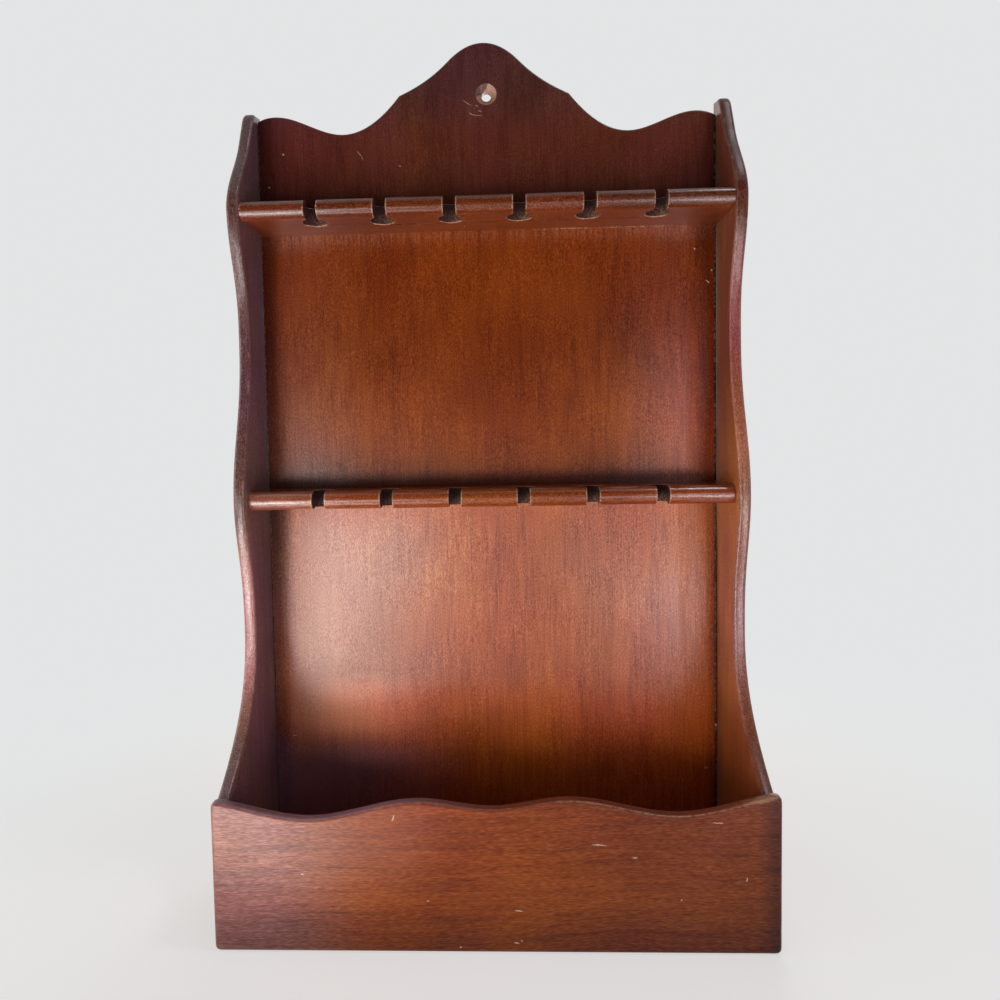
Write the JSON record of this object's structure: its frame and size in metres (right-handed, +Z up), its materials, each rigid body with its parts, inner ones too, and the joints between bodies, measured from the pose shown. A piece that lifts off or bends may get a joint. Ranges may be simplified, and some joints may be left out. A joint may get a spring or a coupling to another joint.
{
  "type": "wooden spoon rack",
  "caption": "Wall rack for souvenir spoons: scalloped back panel between contoured sides, two rails with keyhole notches and an open box at the foot.",
  "frame": {"origin": "middle of the base, on the surface that the rack stands on", "axes": "+X to the right seen from the front, +Y towards the wall, +Z up"},
  "size_m": [0.27, 0.0914, 0.4646],
  "materials": {
    "panel_wood": "satin red-brown stain and lacquer",
    "side_wood": "satin red-brown stain and lacquer",
    "rail_wood": "satin red-brown stain and lacquer",
    "floor_wood": "satin red-brown stain and lacquer",
    "front_wood": "satin red-brown stain and lacquer",
    "brad_steel": "dull, dark with stain"
  },
  "bodies": {
    "root": {"back_panel": "panel_wood", "left_side": "side_wood", "right_side": "side_wood", "upper_rail": "rail_wood", "lower_rail": "rail_wood", "box_floor": "floor_wood", "box_front": "front_wood", "side_to_panel_brads": "brad_steel", "side_to_rail_brads": "brad_steel", "side_to_floor_brads": "brad_steel", "panel_to_rail_brads": "brad_steel", "panel_to_floor_brads": "brad_steel"}
  },
  "joints": []
}
